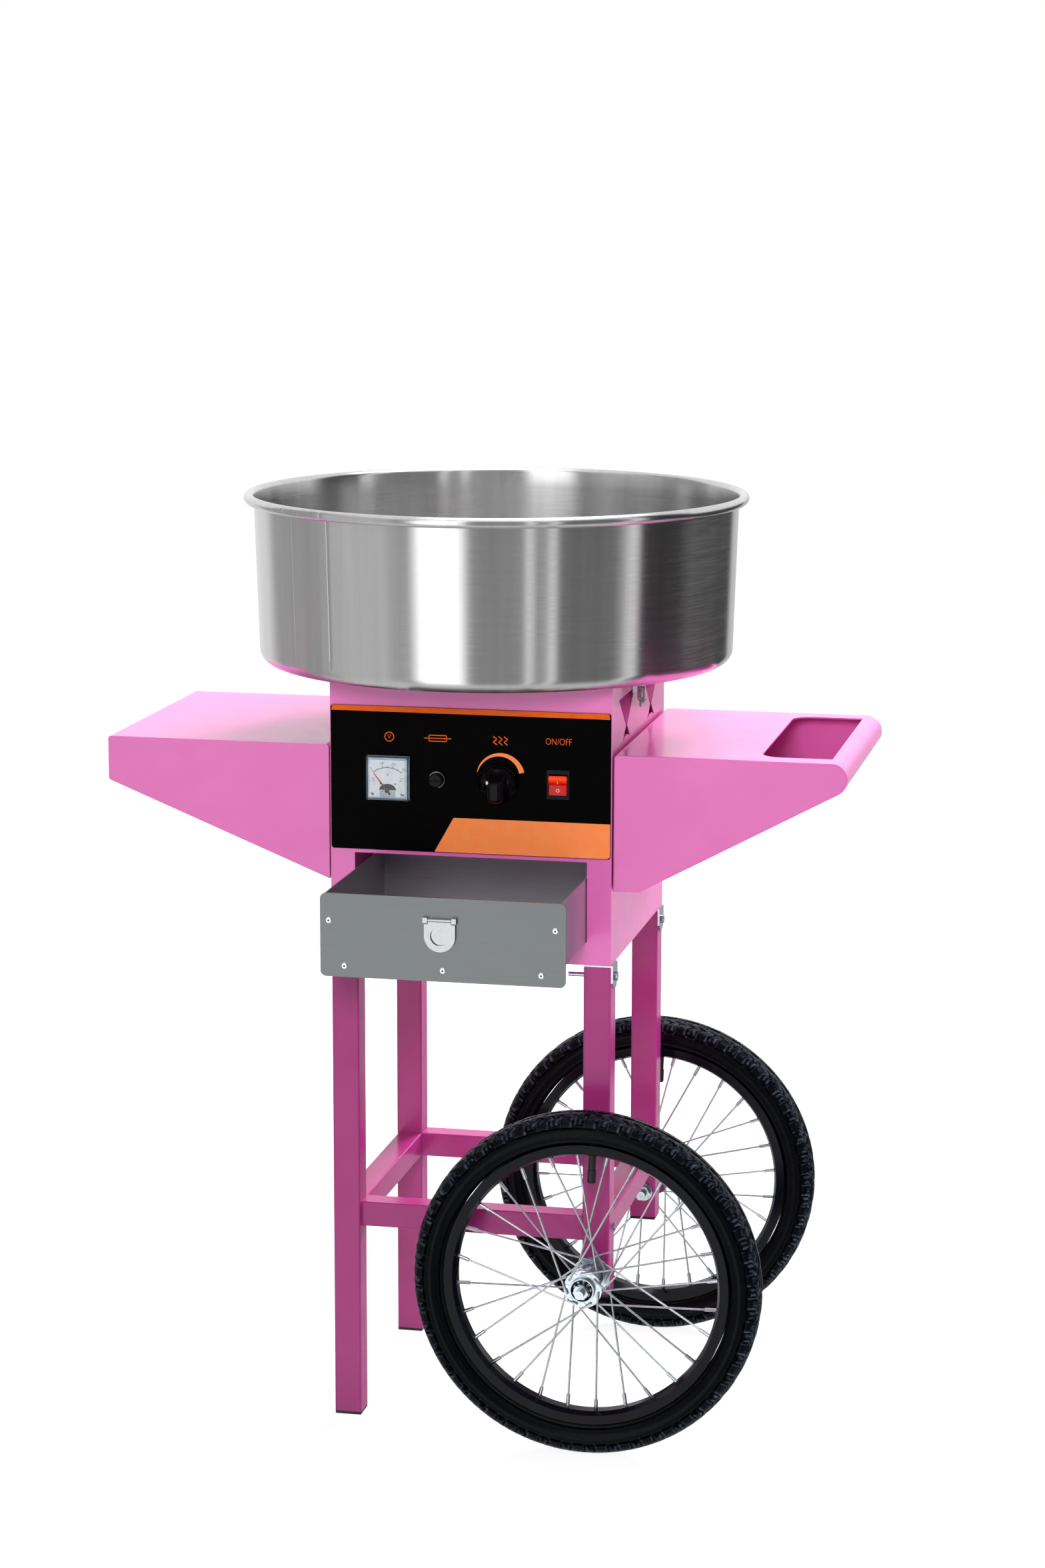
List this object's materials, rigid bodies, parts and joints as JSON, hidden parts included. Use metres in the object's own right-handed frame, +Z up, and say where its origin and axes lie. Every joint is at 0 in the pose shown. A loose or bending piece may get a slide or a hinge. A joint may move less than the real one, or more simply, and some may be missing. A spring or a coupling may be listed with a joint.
{
  "type": "cotton candy cart",
  "caption": "Wheeled cotton candy cart: steel cabinet with control panel and drawer under a round steel bowl, with folded side shelves, square legs and spoked wheels.",
  "frame": {"origin": "on the floor, under the middle of the whole cart's bounding box", "axes": "+Z up; -Y towards the control panel and the drawer; +X towards the wheels and the handle"},
  "size_m": [0.76, 0.536, 0.9542],
  "materials": {
    "pink": "glossy magenta-pink powder coat",
    "panel": "black panel sheet",
    "zinc": "bright zinc plating",
    "steel": "brushed stainless steel",
    "bowl_steel": "spun stainless steel",
    "drawer_steel": "plain sheet steel",
    "rim_black": "gloss black paint",
    "tyre": "moulded rubber",
    "tube": "soft rubber",
    "spoke_wire": "bright zinc-plated wire",
    "cap_black": "moulded plastic",
    "gloss_black": "moulded bakelite",
    "red": "lit red plastic",
    "needle_red": "painted needle",
    "dial": "printed white dial",
    "clear": "clear plastic cover",
    "aluminium": "machined aluminium",
    "ceramic": "ceramic ring",
    "motor": "dark enamel",
    "rubber": "rubber buffer"
  },
  "bodies": {
    "cart": {"cabinet_shell": "pink", "cabinet_floor": "pink", "cabinet_top": "pink", "rear_cover": "pink", "cabinet_screws": "zinc", "cord_gland": "cap_black", "control_panel": "panel", "meter_body": "gloss_black", "meter_cover": "clear", "meter_dial": "dial", "fuse_holder": "gloss_black", "dimmer_body": "cap_black", "switch_body": "gloss_black", "drawer_runners": "pink", "left_shelf": "pink", "right_shelf": "pink", "leg_front_left": "pink", "leg_rear_left": "pink", "leg_front_right": "pink", "leg_rear_right": "pink", "leg_plugs": "cap_black", "stretcher_front": "pink", "stretcher_rear": "pink", "stretcher_left": "pink", "stretcher_right": "pink", "leg_brackets": "zinc", "frame_screws": "zinc", "wheel_axles": "zinc", "axle_hardware": "zinc", "motor_body": "motor", "motor_mounts": "rubber", "brush_holder": "cap_black", "clip_bases": "zinc"},
    "drawer": {"drawer_box": "drawer_steel", "drawer_front": "drawer_steel", "drawer_rivets": "aluminium", "latch_base": "zinc"},
    "drawer_latch": {"latch_flap": "zinc"},
    "needle": {"meter_needle": "needle_red"},
    "fuse_cap": {"fuse_cap": "gloss_black"},
    "knob": {"temperature_knob": "gloss_black"},
    "rocker": {"switch_rocker": "red"},
    "front_wheel": {"front_hub": "zinc", "front_spokes": "spoke_wire", "front_rim": "rim_black", "front_inner_tube": "tube", "front_tyre": "tyre"},
    "rear_wheel": {"rear_hub": "zinc", "rear_spokes": "spoke_wire", "rear_rim": "rim_black", "rear_inner_tube": "tube", "rear_tyre": "tyre"},
    "spinner": {"motor_shaft": "steel", "spinner_head": "aluminium", "heater_ring": "ceramic"},
    "bowl": {"bowl": "bowl_steel"},
    "left_clip_lever": {"clip_lever_left": "zinc"},
    "right_clip_lever": {"clip_lever_right": "zinc"},
    "left_clip_bail": {"clip_bail_left": "zinc"},
    "right_clip_bail": {"clip_bail_right": "zinc"}
  },
  "joints": [
    {"name": "drawer_slide", "type": "slide", "parent": "cart", "child": "drawer", "axis": [0, -1, 0], "range_m": [-0.118, 0.06]},
    {"name": "drawer_latch_turn", "type": "hinge", "parent": "drawer", "child": "drawer_latch", "pos_m": [-0.0024, -0.26625, 0.561], "axis": [-1, 0, 0], "range_deg": [0, 80]},
    {"name": "needle_swing", "type": "hinge", "parent": "cart", "child": "needle", "pos_m": [-0.084, -0.14935, 0.6655], "axis": [0, 1, 0], "range_deg": [0, 76], "stiffness_Nm_per_rad": 0.00002},
    {"name": "fuse_cap_turn", "type": "hinge", "parent": "cart", "child": "fuse_cap", "pos_m": [-0.0335, -0.14835, 0.6783], "axis": [0, -1, 0], "range_deg": [0, 90]},
    {"name": "knob_turn", "type": "hinge", "parent": "cart", "child": "knob", "pos_m": [0.0302, -0.15335, 0.677], "axis": [0, 1, 0], "range_deg": [-135, 135]},
    {"name": "rocker_tip", "type": "hinge", "parent": "cart", "child": "rocker", "pos_m": [0.0908, -0.14385, 0.6778], "axis": [1, 0, 0], "range_deg": [0, 24]},
    {"name": "front_wheel_spin", "type": "hinge", "parent": "cart", "child": "front_wheel", "pos_m": [0.132, -0.19085, 0.178], "axis": [0, 1, 0], "continuous": true},
    {"name": "rear_wheel_spin", "type": "hinge", "parent": "cart", "child": "rear_wheel", "pos_m": [0.132, 0.20715, 0.178], "axis": [0, 1, 0], "continuous": true},
    {"name": "spinner_spin", "type": "hinge", "parent": "cart", "child": "spinner", "pos_m": [-0.006, 0.00815, 0.8], "axis": [0, 0, 1], "continuous": true},
    {"name": "bowl_lift", "type": "slide", "parent": "cart", "child": "bowl", "axis": [0, 0, 1], "range_m": [0, 0.1]},
    {"name": "left_clip_lever_turn", "type": "hinge", "parent": "cart", "child": "left_clip_lever", "pos_m": [-0.151, -0.02585, 0.768], "axis": [0, 1, 0], "range_deg": [0, 75]},
    {"name": "right_clip_lever_turn", "type": "hinge", "parent": "cart", "child": "right_clip_lever", "pos_m": [0.151, -0.02585, 0.768], "axis": [0, -1, 0], "range_deg": [0, 75]},
    {"name": "left_clip_bail_turn", "type": "hinge", "parent": "left_clip_lever", "child": "left_clip_bail", "pos_m": [-0.154, -0.02585, 0.7586], "axis": [0, 1, 0], "range_deg": [0, 45]},
    {"name": "right_clip_bail_turn", "type": "hinge", "parent": "right_clip_lever", "child": "right_clip_bail", "pos_m": [0.154, -0.02585, 0.7586], "axis": [0, -1, 0], "range_deg": [0, 45]}
  ]
}
